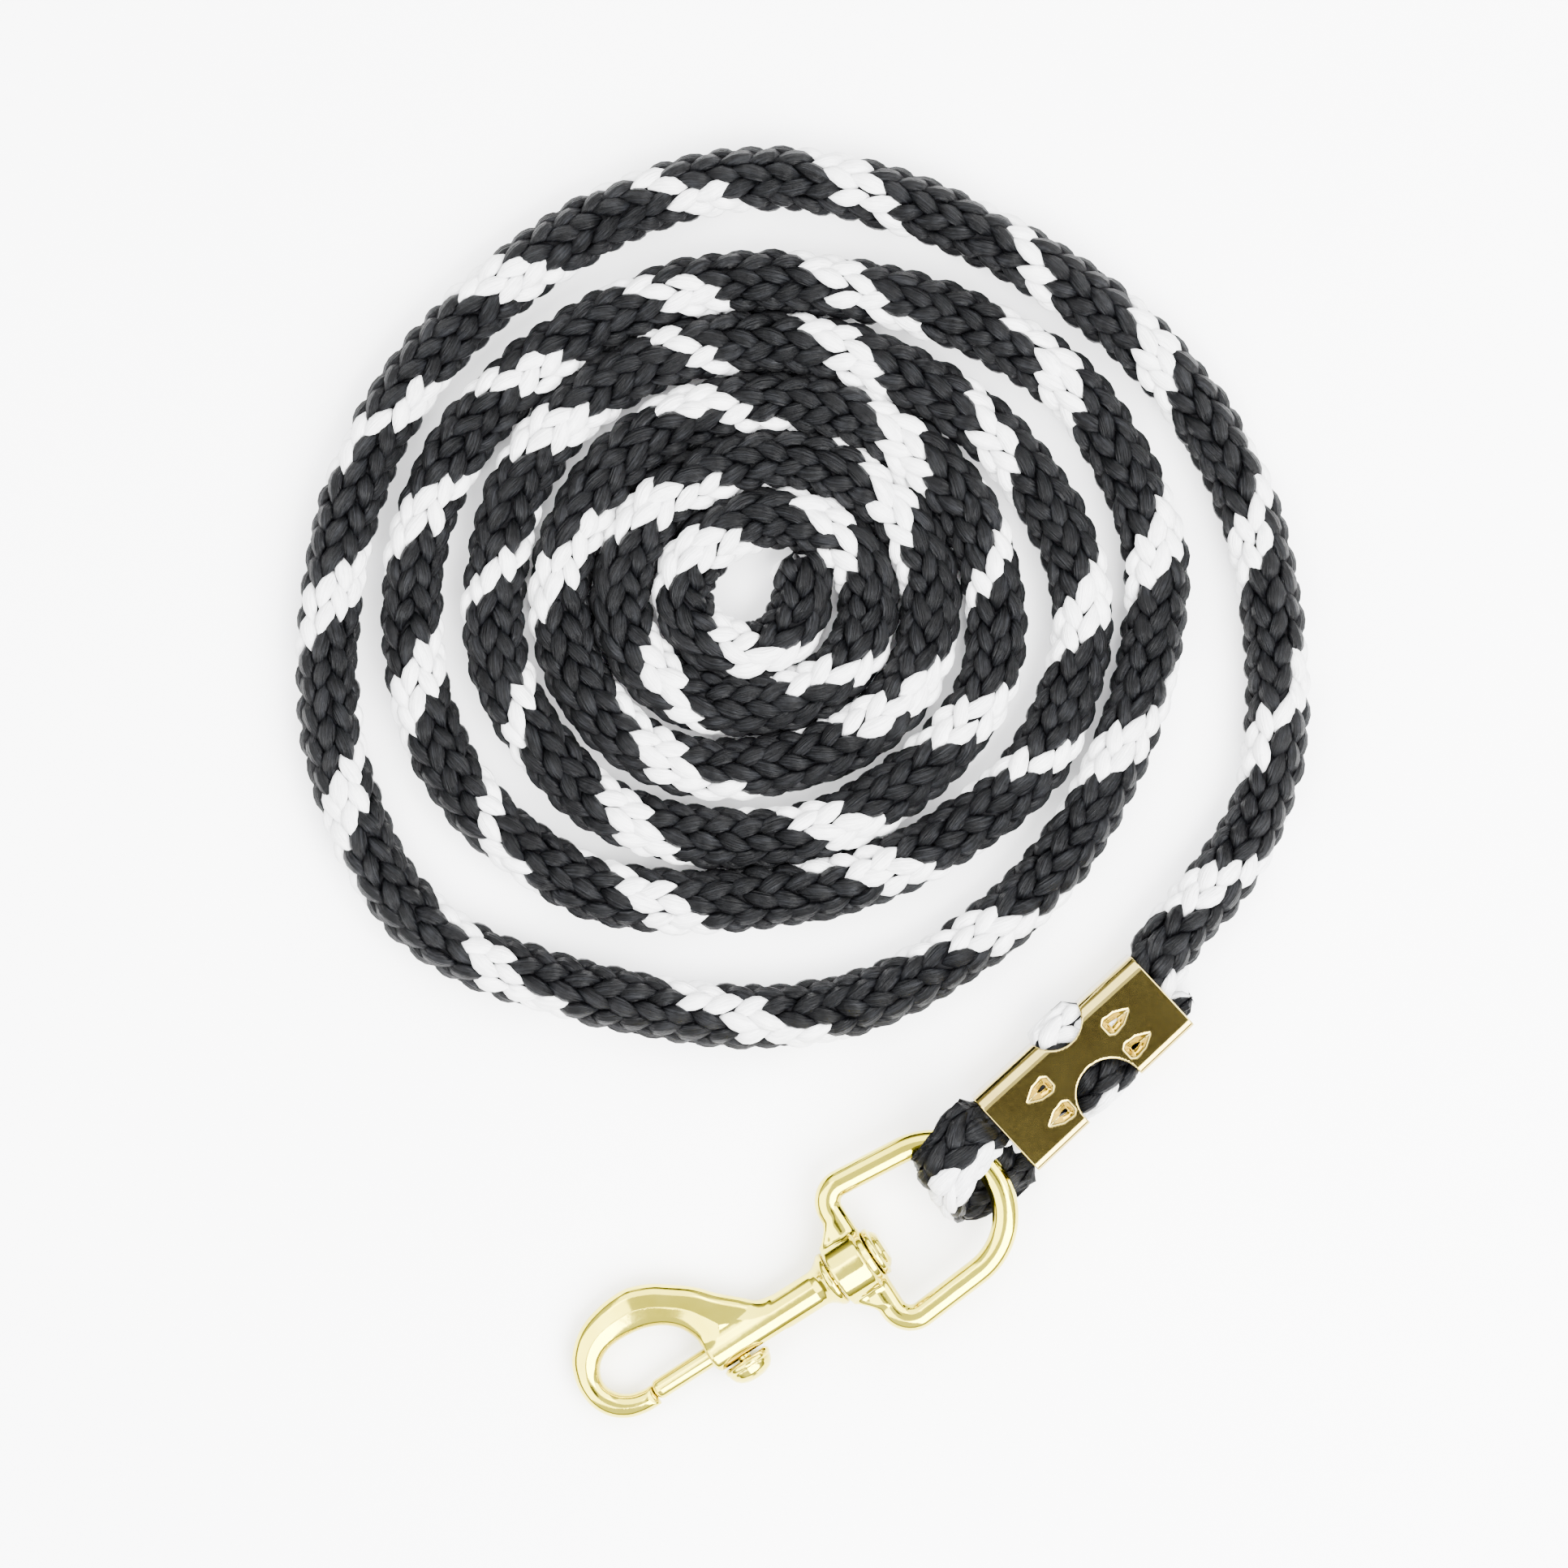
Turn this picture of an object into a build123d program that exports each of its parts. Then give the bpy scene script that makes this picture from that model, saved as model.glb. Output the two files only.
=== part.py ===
"""Lead rope: a braided rope with a swivel bolt snap fixed at one end by a folded sheet clamp.

The rope lies coiled on a flat surface, and the snap lies beside the coil. Millimetres, +Z up, the surface at z = 0.
The snap's own parts are drawn along X about their common axis, and are then laid down on the surface, nose first.
"""
from build123d import *
import math
import os

# ---------------------------------------------------------------- driving dimensions (mm)
ROPE_D = 15.6          # braided rope, 5/8 inch
ROPE_R = ROPE_D / 2

# lie of the snap: its axis passes over PIVOT and tilts down towards the nose
PIVOT = (26.3, -2.65, 12.1)
TILT_DEG = 4.0

# hook and barrel
HOOK_T = 8.4           # thickness of the cast hook
SHANK_R = 4.65         # round shank that holds the bolt
MOUTH_X = -56.0        # open end of the bolt bore
SHANK_END_X = -23.5    # where the shank flares to the swivel collar
COLLAR_X = -19.4       # face of the collar
COLLAR_R = 7.0
BORE_R = 2.65          # bolt bore
BORE_END_X = -26.3
GATE_X = -72.4         # face of the hook's tip, where the bolt closes
SLOT_W = 3.7           # slot in the shank for the knob's stem

# bolt, knob and spring
BOLT_R = 2.6
BOLT_NOSE_X = -72.3
BOLT_TAIL_X = -42.5
BOLT_TRAVEL = 12.0
KNOB_X = -49.0
KNOB_R = 6.2
STEM_R = 1.6
SPRING_R = 2.15        # mean radius of the coil
SPRING_WIRE_R = 0.25
SPRING_TURNS = 7

# swivel
POST_R = 3.40
HUB_BORE_R = 3.46
HUB_R = 8.3
HUB_X0, HUB_X1 = -19.0, -8.5
HEAD_R = 6.3
HEAD_X0, HEAD_X1 = -8.0, -5.0

# eye ring, a tapered D of round bar
BAR_R = 3.25
ARCH_X, ARCH_R = 9.42, 17.68    # centre and centreline radius of the round end
BASE_X = -11.6                  # centreline of the straight bar behind the hub
BASE_CORNER_R = 5.2
SIDE_TAPER_DEG = 3.9

# where the rope goes round the ring
LOOP_PHI_DEG = 17.0
LOOP_OUT_R = 12.1
LOOP_SLACK = 3.4                # how far the loop stands in from the bar
LOOP_HALF_W = 10.5
LOOP_CLEAR = 0.35

# clamp: one folded sheet, seam underneath
CLAMP_POS = (60.7, 9.1)
CLAMP_DIR_DEG = 10.0
CLAMP_L = 52.2
CLAMP_W = 23.4
CLAMP_H = 18.0
SHEET_T = 1.0
FOLD_R_LEFT, FOLD_R_RIGHT = 4.2, 1.9
SEAM_W, SEAM_B = 0.8, -0.4
PRONG_A = 12.9                  # prong rows, along the clamp from its middle
PRONG_B = (2.4, -5.5)           # and across it
PRONG_L, PRONG_W, PRONG_DEEP = 6.6, 4.0, 4.2

os.makedirs("parts", exist_ok=True)


def lay(shape):
    """Lays a part drawn about the X axis down along the snap's real axis."""
    place = Location(PIVOT) * Location((0, 0, 0), (0, -TILT_DEG, 0)) * Location((-PIVOT[0], 0, 0))
    return place * shape


def along_x(radius, x0, x1):
    """A round bar on the X axis from x0 to x1."""
    return Location((x0, 0, 0), (0, 90, 0)) * Cylinder(radius, x1 - x0, align=(Align.CENTER, Align.CENTER, Align.MIN))


def turned(profile):
    """A body of revolution about the X axis from (x, r) points."""
    wire = Polyline(*[(x, r, 0) for x, r in profile], close=True)
    return revolve(make_face(wire), axis=Axis.X)


# ---------------------------------------------------------------- snap body: hook, shank and collar in one casting
hook_outer = [
    (-36.0, 4.3), (-39.0, 5.85), (-42.0, 8.65), (-45.0, 11.15), (-47.0, 13.15), (-49.0, 15.5), (-51.5, 17.8),
    (-55.0, 20.4), (-59.0, 23.15), (-64.0, 25.2), (-68.0, 25.55), (-73.0, 25.05), (-78.0, 23.65), (-82.0, 21.3),
    (-85.5, 17.65), (-87.3, 13.65), (-88.0, 10.0), (-87.7, 6.0), (-86.2, 2.4), (-84.0, -0.2), (-81.0, -2.1),
    (-78.0, -3.0), (-75.0, -3.35), (GATE_X, -3.3),
]
hook_inner = [
    (GATE_X, 2.0), (-74.5, 2.0), (-77.5, 2.7), (-80.0, 4.3), (-81.6, 6.6), (-82.0, 8.8), (-81.3, 11.2),
    (-79.5, 13.4), (-77.0, 14.8), (-74.0, 15.4), (-70.0, 15.3), (-66.0, 14.6), (-62.0, 12.9), (-59.0, 10.4),
    (-57.2, 7.4), (-56.2, 4.0), (MOUTH_X, 2.0),
]
with BuildPart() as hook_part:
    with BuildSketch():
        with BuildLine():
            Spline(*hook_outer)
            Line(hook_outer[-1], hook_inner[0])
            Spline(*hook_inner)
            Polyline(hook_inner[-1], (MOUTH_X, -1.0), (-36.0, -1.0), hook_outer[0])
        make_face()
    extrude(amount=HOOK_T / 2, both=True)
hook = hook_part.part
rim = hook.edges().filter_by(lambda e: abs(e.center().Z) > HOOK_T / 2 - 0.01 and e.length > 30)
hook = chamfer(rim, 1.7)

shank = turned([
    (MOUTH_X, 0), (MOUTH_X, SHANK_R - 0.4), (MOUTH_X + 0.5, SHANK_R), (SHANK_END_X, SHANK_R), (-22.0, 5.5),
    (-20.8, COLLAR_R), (COLLAR_X, COLLAR_R), (COLLAR_X, 0),
])
snap_body = hook + shank
snap_body -= along_x(BORE_R, MOUTH_X - 1, BORE_END_X)
snap_body -= along_x(POST_R, -25.2, COLLAR_X + 1)
# the slot that the knob's stem runs in, with round ends
slot_x0, slot_x1 = KNOB_X, KNOB_X + BOLT_TRAVEL + 0.25
slot = Box(slot_x1 - slot_x0, 6, SLOT_W, align=(Align.MIN, Align.MAX, Align.CENTER))
slot = Location((slot_x0, 0, 0)) * slot
for x in (slot_x0, slot_x1):
    slot += Location((x, 0, 0), (90, 0, 0)) * Cylinder(SLOT_W / 2, 6, align=(Align.CENTER, Align.CENTER, Align.MIN))
snap_body -= slot

# ---------------------------------------------------------------- bolt, knob, spring
bolt = turned([
    (BOLT_NOSE_X, 0), (BOLT_NOSE_X, 2.0), (BOLT_NOSE_X + 0.6, BOLT_R), (BOLT_TAIL_X, BOLT_R), (BOLT_TAIL_X, 0),
])
stem_hole = Location((KNOB_X, 0, 0), (90, 0, 0)) * Cylinder(STEM_R, 8, align=(Align.CENTER, Align.CENTER, Align.MIN))
bolt -= stem_hole

knob_profile = [
    (0, -1.2), (STEM_R, -1.2), (STEM_R, 4.95), (5.4, 4.95), (KNOB_R, 5.5), (KNOB_R, 6.5), (5.7, 6.8), (5.8, 7.4),
    (5.3, 8.6), (4.4, 9.6), (3.0, 10.3), (1.5, 10.6), (0, 10.65),
]
# r against distance from the axis, turned about the stem and pointed to -Y
knob = revolve(make_face(Polyline(*[(r, 0, h) for r, h in knob_profile], close=True)), axis=Axis.Z)
knob = Location((KNOB_X, 0, 0), (90, 0, 0)) * (Location((0, 0, 0)) * knob)
bolt -= Location((KNOB_X, 1.2, 0), (90, 0, 0)) * Cylinder(STEM_R, 2, align=(Align.CENTER, Align.CENTER, Align.MIN))

spring_len = (BORE_END_X - 0.3) - (BOLT_TAIL_X + 0.3)
helix = Helix(pitch=(spring_len - 2 * SPRING_WIRE_R) / SPRING_TURNS, height=spring_len - 2 * SPRING_WIRE_R, radius=SPRING_R)
spring = sweep(Plane(helix @ 0, z_dir=helix % 0) * Circle(SPRING_WIRE_R), path=helix)
spring = Location((BOLT_TAIL_X + 0.3 + SPRING_WIRE_R, 0, 0), (0, 90, 0)) * spring

# ---------------------------------------------------------------- swivel post and eye
post = turned([
    (-25.0, 0), (-25.0, POST_R), (HEAD_X0, POST_R), (HEAD_X0, HEAD_R - 0.3), (HEAD_X0 + 0.3, HEAD_R),
    (-6.8, HEAD_R), (-6.5, HEAD_R - 0.5), (-6.5, 5.0), (-5.8, 4.7), (HEAD_X1, 3.6), (HEAD_X1, 0),
])

taper = math.radians(SIDE_TAPER_DEG)
join = (ARCH_X + ARCH_R * math.sin(taper), ARCH_R * math.cos(taper))
corner_y = join[1] + (join[0] - BASE_X) * math.tan(taper)
base_line = FilletPolyline((join[0], join[1]), (BASE_X, corner_y), (BASE_X, -corner_y), (join[0], -join[1]),
                           radius=BASE_CORNER_R)
arch = ThreePointArc((join[0], -join[1]), (ARCH_X + ARCH_R, 0), (join[0], join[1]))
ring_path = Wire(base_line.edges() + arch.edges())
ring = sweep(Plane(origin=(ARCH_X + ARCH_R, 0, 0), z_dir=(0, 1, 0)) * Circle(BAR_R), path=ring_path)
gusset = extrude(make_face(Polyline((-18.6, 8.0), (-14.2, 11.9), (-11.0, 11.9), (-11.0, -11.9), (-14.2, -11.9),
                                    (-18.6, -8.0), close=True)), amount=BAR_R - 0.15, both=True)
hub = turned([(HUB_X0, 0), (HUB_X0, HUB_R - 0.5), (HUB_X0 + 0.6, HUB_R), (-10.4, HUB_R), (-10.1, HUB_R - 0.6),
              (HUB_X1, 6.9), (HUB_X1, 0)])
eye = ring + gusset + hub
eye -= along_x(HUB_BORE_R, HUB_X0 - 1, HUB_X1 + 1)

# ---------------------------------------------------------------- clamp
clamp_place = Location((CLAMP_POS[0], CLAMP_POS[1], 0), (0, 0, CLAMP_DIR_DEG))


def folded(inset, length):
    """The clamp's section less an inset all round, as a bar of the given length about the clamp's middle."""
    w, h = CLAMP_W / 2 - inset, CLAMP_H / 2 - inset
    face = Rectangle(2 * w, 2 * h)
    face = fillet([v for v in face.vertices() if v.X > 0], max(FOLD_R_LEFT - inset, 0.4))
    face = fillet([v for v in face.vertices() if v.X < -w + 0.01 and abs(v.Y) > h - 0.01],
                  max(FOLD_R_RIGHT - inset, 0.4))
    plane = Plane(origin=(-length / 2, 0, CLAMP_H / 2), x_dir=(0, 1, 0), z_dir=(1, 0, 0))
    return extrude(plane * face, amount=length)


def upright(radius, a, b):
    """A vertical cylinder through the clamp."""
    return Location((a, b, -1)) * Cylinder(radius, CLAMP_H + 2, align=(Align.CENTER, Align.CENTER, Align.MIN))


clamp = folded(0, CLAMP_L) - folded(SHEET_T, CLAMP_L + 2)
clamp -= Location((0, SEAM_B, 0)) * Box(CLAMP_L + 2, SEAM_W, 2 * SHEET_T + 0.2)
clamp -= upright(7.5, 1.1, 13.4)
clamp -= upright(8.7, -0.2, -10.2)
for end in (1, -1):
    for b in PRONG_B:
        hole = make_face(Polyline((end * (PRONG_A - PRONG_L / 2), b - PRONG_W / 2),
                                  (end * (PRONG_A + PRONG_L / 2), b),
                                  (end * (PRONG_A - PRONG_L / 2), b + PRONG_W / 2), close=True))
        punched = extrude(hole, amount=CLAMP_H + 2)
        clamp -= Location((0, 0, -1)) * punched
        # the tongue that the punch bends in, top and bottom, pointed towards the rope
        a0 = end * (PRONG_A - PRONG_L / 2)
        for z0, down in ((CLAMP_H - SHEET_T / 2, -1), (SHEET_T / 2, 1)):
            half = PRONG_W / 2 - 0.35
            tongue = make_face(Polyline((0, b - half, z0), (0, b + half, z0), (0, b + 0.3, z0 + down * PRONG_DEEP),
                                        (0, b - 0.3, z0 + down * PRONG_DEEP), close=True))
            tongue = extrude(tongue, amount=0.9, dir=(1, 0, 0))
            clamp += Location((a0 - (0.6 if end > 0 else 0.3), 0, 0)) * tongue
clamp = clamp_place * clamp

# ---------------------------------------------------------------- rope round the ring and through the clamp
phi = math.radians(LOOP_PHI_DEG)
touch = Vector(ARCH_X + ARCH_R * math.cos(phi), ARCH_R * math.sin(phi), 0)
flip_plane = Plane(origin=touch, x_dir=(math.cos(phi), math.sin(phi), 0), z_dir=(-math.sin(phi), math.cos(phi), 0))


def bar_reach(y):
    """How far the ring's bar reaches from the line it turns about, at a distance y along that line."""
    return ARCH_R - math.sqrt((ARCH_R - BAR_R) ** 2 - y * y) + LOOP_CLEAR


ys = [i * 0.5 * (LOOP_HALF_W + 1.5) / 6 for i in range(-12, 13)]
bore_face = make_face(Polyline(*([(0, ys[0])] + [(bar_reach(y), y) for y in ys] + [(0, ys[-1])]), close=True))
bore = revolve(bore_face, axis=Axis.Y)                       # about Y, then stood on the flip line
bore = flip_plane * (Location((0, 0, 0), (90, 0, 0)) * bore)
outer = flip_plane * (
    Cylinder(LOOP_OUT_R, 2 * LOOP_HALF_W)
    + Location((-LOOP_SLACK, 0, 0)) * Cylinder(LOOP_OUT_R, 2 * LOOP_HALF_W)
    + Location((-LOOP_SLACK / 2, 0, 0)) * Box(LOOP_SLACK, 2 * LOOP_OUT_R, 2 * LOOP_HALF_W)
)
loop_ring = lay(outer) - lay(bore)
snap_end = clamp_place * (Location((-CLAMP_L / 2, 0, 0)) * Box(60, 60, 60, align=(Align.MAX, Align.CENTER, Align.MIN)))
loop_ring = loop_ring & snap_end
packed = clamp_place * folded(SHEET_T, CLAMP_L)
tail = clamp_place * (Location((CLAMP_L / 2 - 0.5, -7.7, 1.2)) * Box(5.0, 4.4, 6.0, align=(Align.MIN, Align.CENTER, Align.MIN)))
rope_loop = loop_ring + packed + tail

# ---------------------------------------------------------------- the rope's free length
# route of the rope from the clamp's mouth, as the corners of its runs
route = [
    (83.2, 13.4, 11.7), (92.2, 22.4, 10.3), (107.5, 28.6, 8.4), (128, 36.8, 7.8), (150.1, 60.2, 7.8),
    (170.8, 105.8, 7.8), (170.5, 152.7, 7.8), (147.8, 200.8, 7.8), (115.6, 233.8, 7.8), (76.5, 248.1, 7.8),
    (23, 245.3, 7.8), (-16.4, 225.1, 7.8), (-49.1, 185.8, 7.8), (-60, 148.5, 7.8), (-58.3, 124, 7.8),
    (-45, 103.3, 7.8), (-7.2, 67.6, 7.8), (26.9, 51, 7.8), (74.2, 49.8, 7.8), (115.7, 70.2, 7.8),
    (143.3, 99.4, 7.8), (149.8, 127.5, 7.8), (148.6, 157, 7.8), (125.4, 193.2, 7.8), (88, 221.9, 7.8),
    (48.8, 228.3, 7.8), (12.1, 220.9, 7.8), (-13, 201.6, 7.8), (-29.8, 171, 7.8), (-32.5, 144.1, 7.8),
    (-21.6, 113.7, 7.8), (-6.6, 98.9, 7.8), (12.7, 87.1, 7.8), (42.5, 73.8, 7.8), (83.2, 72.9, 7.8),
    (103.8, 83.5, 7.8),
]


def corner_radii(points, share=0.45):
    """For each corner, the radius that uses this share of its shorter run."""
    out = []
    for a, b, c in zip(points, points[1:], points[2:]):
        before, after = Vector(*b) - Vector(*a), Vector(*c) - Vector(*b)
        half_turn = math.radians(before.get_angle(after) / 2)
        out.append(share * min(before.length, after.length) / math.tan(half_turn))
    return out


radii = corner_radii(route)
print("cord radii mm:", [round(r, 1) for r in radii], "in diameters, least:", round(min(radii) / ROPE_D, 2))
lead_path = FilletPolyline(*route, radius=radii)
lead_wire = Wire(lead_path.edges())
mouth = Plane(origin=route[0], z_dir=lead_wire % 0)
rope_lead = sweep(mouth * Circle(ROPE_R), path=lead_wire)
print("rope_lead volume / (section x length):", round(rope_lead.volume / (math.pi * ROPE_R ** 2 * lead_wire.length), 4))
# the tube's first end is cut flush with the clamp's mouth
inside = Location((CLAMP_L / 2, 0, -5)) * Box(24, 40, 40, align=(Align.MAX, Align.CENTER, Align.MIN))
rope_lead -= clamp_place * inside

# the inner turns, as one flat coil whose rim is a single turn of the spiral with the step where the tube joins it
end_point = Vector(route[-1][0], route[-1][1])
end_dir = (end_point - Vector(route[-2][0], route[-2][1])).normalized()
outward = Vector(end_dir.Y, -end_dir.X)
step_out = end_point + outward * ROPE_R + end_dir * 0.02
step_in = end_point - outward * 12.7 + end_dir * 0.02
coil_rim = [
    (step_out.X, step_out.Y), (113.2, 82), (120.4, 88.7), (126.4, 96.5), (130.9, 105.2), (133.8, 114.5), (135.3, 124.2),
    (135.7, 134), (135.1, 143.8), (133.2, 153.4), (130.1, 162.7), (126, 171.6), (121.1, 180.1), (115.5, 188.1),
    (108.8, 195.2), (101.1, 201.3), (93.2, 207), (84.6, 211.7), (75.3, 215), (65.7, 217), (56, 218.2),
    (46.2, 218.2), (36.5, 217.2), (26.9, 215.1), (18.1, 210.7), (10.2, 205), (3, 198.4), (-3.5, 191),
    (-9.1, 183), (-13.4, 174.2), (-16.1, 164.8), (-17, 155.1), (-16.7, 145.3), (-15.5, 135.5), (-13, 126.1),
    (-8.7, 117.3), (-2.7, 109.5), (4.3, 102.7), (12.4, 97.2), (21.1, 92.7), (30, 88.6), (39.1, 85),
    (48.6, 82.7), (58.4, 82.4), (68.2, 83.4), (77.8, 85.2), (87, 88.5), (step_in.X, step_in.Y),
]
rim_line = Spline(*coil_rim)
coil_face = make_face(Wire([rim_line.edges()[0], Line(coil_rim[-1], coil_rim[0]).edges()[0]]))
rope_coil = extrude(coil_face, amount=ROPE_D)

# ---------------------------------------------------------------- write each piece
pieces = {
    "snap_body": lay(snap_body),
    "snap_bolt": lay(bolt),
    "thumb_knob": lay(knob),
    "bolt_spring": lay(spring),
    "swivel_post": lay(post),
    "swivel_eye": lay(eye),
    "rope_clamp": clamp,
    "rope_loop": rope_loop,
    "rope_lead": rope_lead,
    "rope_coil": rope_coil,
}
for name, shape in pieces.items():
    solids = shape.solids()
    box = shape.bounding_box()
    print(name, "solids", len(solids), "volume", round(sum(s.volume for s in solids), 1),
          "box", [round(v, 2) for v in (*box.min, *box.max)])
    export_step(shape if len(solids) > 1 else solids[0], f"parts/{name}.step")
flip_dir = lay(Edge.make_line(touch, touch + flip_plane.z_dir))
print("flip line", flip_dir @ 0, flip_dir % 0)
axis_line = lay(Edge.make_line((0, 0, 0), (1, 0, 0)))
print("snap axis", axis_line @ 0, axis_line % 0)
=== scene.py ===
"""Lead rope: a solid-braid rope lying coiled, with a sprung-bolt swivel snap held on its end by a folded clamp."""
import math
import bpy
import numpy as np
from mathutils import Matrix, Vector


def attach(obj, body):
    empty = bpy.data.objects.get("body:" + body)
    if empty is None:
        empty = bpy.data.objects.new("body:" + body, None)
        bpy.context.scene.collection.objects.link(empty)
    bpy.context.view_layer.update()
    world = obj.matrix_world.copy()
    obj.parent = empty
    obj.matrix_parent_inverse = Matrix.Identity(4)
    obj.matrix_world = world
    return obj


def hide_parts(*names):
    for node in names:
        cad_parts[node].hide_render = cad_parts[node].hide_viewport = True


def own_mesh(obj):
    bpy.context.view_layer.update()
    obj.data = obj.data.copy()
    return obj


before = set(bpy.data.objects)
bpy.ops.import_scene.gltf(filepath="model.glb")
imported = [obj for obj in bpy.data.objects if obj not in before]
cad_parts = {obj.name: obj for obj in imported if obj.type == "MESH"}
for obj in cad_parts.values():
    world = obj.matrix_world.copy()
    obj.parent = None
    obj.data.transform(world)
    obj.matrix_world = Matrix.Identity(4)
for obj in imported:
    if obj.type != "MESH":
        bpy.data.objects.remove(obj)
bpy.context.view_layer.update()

MM = 0.001
rng = np.random.default_rng(815)
scene = bpy.context.scene

# ------------------------------------------------------------------ camera: straight down, as the rope is seen
cam_data = bpy.data.cameras.new("camera")
cam = bpy.data.objects.new("camera", cam_data)
scene.collection.objects.link(cam)
cam_data.sensor_width = 36.0
cam_data.lens = 36.0 * 1.2 / 0.3864
cam.location = (0.03590, 0.10623, 1.208)
cam.rotation_euler = (0.0, 0.0, math.radians(-32.8))
scene.camera = cam

# ------------------------------------------------------------------ rope: one line from its cut end to its inner end
CLAMP_RUN = [   # cut end, lower strand, round the ring's bar, upper strand, in millimetres
    (92.0, 7.3, 4.2), (84.3, 8.0, 4.8), (74.0, 8.0, 4.9), (61.9, 3.0, 9.2), (49.0, 3.4, 4.9), (40.5, 0.9, 4.9), (32.0, -2.2, 4.5),
    (23.5, -2.4, 4.0), (15.0, -0.6, 4.2), (14.9, 4.4, 20.2), (23.5, 8.2, 20.4), (30.5, 10.2, 18.8), (37.0, 9.6, 13.2),
    (48.4, 10.4, 13.2), (60.7, 19.4, 10.0), (73.5, 14.8, 13.1), (84.5, 16.6, 12.1),
]
ROUTE = [       # from the clamp's mouth round two outer turns
    (92.2, 22.0, 10.4), (108.3, 26.4, 8.4), (129.4, 34.6, 7.8), (151.8, 58.6, 7.8),
    (172.5, 105.2, 7.8), (170.5, 152.7, 7.8), (147.8, 200.8, 7.8), (116.4, 235.1, 7.8), (76.7, 249.2, 7.8),
    (23, 245.3, 7.8), (-16.4, 225.1, 7.8), (-49.1, 185.8, 7.8), (-60, 148.5, 7.8), (-58.3, 124, 7.8),
    (-45.6, 102.4, 7.8), (-9.1, 65.4, 7.8), (25.7, 47.6, 7.8), (74.7, 48.4, 7.8), (115.7, 70.2, 7.8),
    (143.3, 99.4, 7.8), (149.8, 127.5, 7.8), (148.6, 157, 7.8), (125.4, 193.2, 7.8), (88, 221.9, 7.8),
    (48.8, 228.3, 7.8), (12.1, 220.9, 7.8), (-13, 201.6, 7.8), (-29.8, 171, 7.8), (-32.5, 144.1, 7.8),
    (-21.6, 113.7, 7.8), (-6.6, 98.9, 7.8), (12.7, 87.1, 7.8), (42.5, 73.8, 7.8), (83.2, 72.9, 7.8),
    (103.8, 83.5, 7.8),
]
COIL = [        # the inner turns, down to the end in the middle
    (121.8, 100.7), (128.8, 125), (126.5, 155.1), (107.5, 188.6), (79.6, 208.3), (53.3, 213.8),
    (27.1, 208.6), (5.5, 191.3), (-9, 168.9), (-9.4, 142.7), (-4.2, 121.5), (17.2, 100.9), (42, 89.3), (73, 91),
    (92.5, 99.1), (104.4, 114.8), (111.6, 137.2), (107.9, 159.3), (95.6, 179.8), (75.1, 192.8), (52, 197.4),
    (32.7, 191.6), (15.9, 178.9), (7.8, 162.4), (6.8, 144.5), (13, 127.8), (26.4, 115.5), (50.8, 106.2),
    (69, 107.1), (83.3, 114.7), (92.9, 126.8), (96.4, 141.4), (93.3, 157.2), (84, 171), (69.1, 179.6),
    (52.6, 182.2), (38.4, 177.6), (27.9, 169.3), (22.7, 158.5), (22.8, 146.7), (27.8, 135.3), (39.3, 126.5),
    (52.5, 121), (64.5, 122.1), (73.9, 127.4), (80.2, 135.7), (81.5, 146.1), (77.6, 155.5), (70.4, 163),
    (60.5, 166.4), (50.3, 166.2), (40.7, 161.6), (37.4, 151.7), (41.1, 142), (49.4, 135.7), (59.9, 137.5),
    (67.4, 145.3), (69.3, 153.0),
]
line = CLAMP_RUN + ROUTE + [(x, y, 7.8) for x, y in COIL]

curve = bpy.data.curves.new("rope_line", "CURVE")
curve.dimensions = "3D"
curve.resolution_u = 24
spl = curve.splines.new("NURBS")
spl.points.add(len(line) - 1)
for p, (x, y, z) in zip(spl.points, line):
    p.co = (x * MM, y * MM, z * MM, 1.0)
spl.order_u = 3
spl.use_endpoint_u = True
curve_obj = bpy.data.objects.new("rope_line", curve)
scene.collection.objects.link(curve_obj)
deps = bpy.context.evaluated_depsgraph_get()
line_mesh = bpy.data.meshes.new_from_object(curve_obj.evaluated_get(deps))
path = np.array([v.co[:] for v in line_mesh.vertices], float) / MM
bpy.data.objects.remove(curve_obj)
bpy.data.meshes.remove(line_mesh)
keep = np.r_[True, np.linalg.norm(np.diff(path, axis=0), axis=1) > 1e-4]
path = path[keep]
seg = np.linalg.norm(np.diff(path, axis=0), axis=1)
arc = np.r_[0.0, np.cumsum(seg)]
LENGTH = float(arc[-1])

tangent = np.gradient(path, arc, axis=0)
tangent /= np.linalg.norm(tangent, axis=1)[:, None]
mouth_i = int(np.argmin(np.linalg.norm(path - np.array([86.5, 18.0, 11.7]), axis=1)))
S_MOUTH = float(arc[mouth_i])
normal = np.zeros_like(path)
up = np.array([0, 0, 1.0])
normal[mouth_i] = up - tangent[mouth_i] * (up @ tangent[mouth_i])
normal[mouth_i] /= np.linalg.norm(normal[mouth_i])
for j in range(mouth_i + 1, len(path)):
    n = normal[j - 1] - tangent[j] * (normal[j - 1] @ tangent[j])
    normal[j] = n / np.linalg.norm(n)
# through the clamp and round the ring the flattened rope faces away from the ring's bar
nose_i = int(np.argmin(np.where(arc < S_MOUTH, path[:, 0], 1e9)))
for j in range(mouth_i):
    x, y, z = path[j]
    out = np.array([min(x - 23.0, 0.0), 0.0, max(z - 12.1, 3.0) if j > nose_i else min(z - 12.1, -3.0)])
    if abs(j - nose_i) < 60:
        out[2] = z - 12.1
    n = out - tangent[j] * (out @ tangent[j])
    normal[j] = n / np.linalg.norm(n)
for _ in range(12):
    m = normal[1:mouth_i - 1] * 0.5 + (normal[:mouth_i - 2] + normal[2:mouth_i]) * 0.25
    normal[1:mouth_i - 1] = m / np.linalg.norm(m, axis=1)[:, None]
normal -= tangent * (normal * tangent).sum(1)[:, None]
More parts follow.
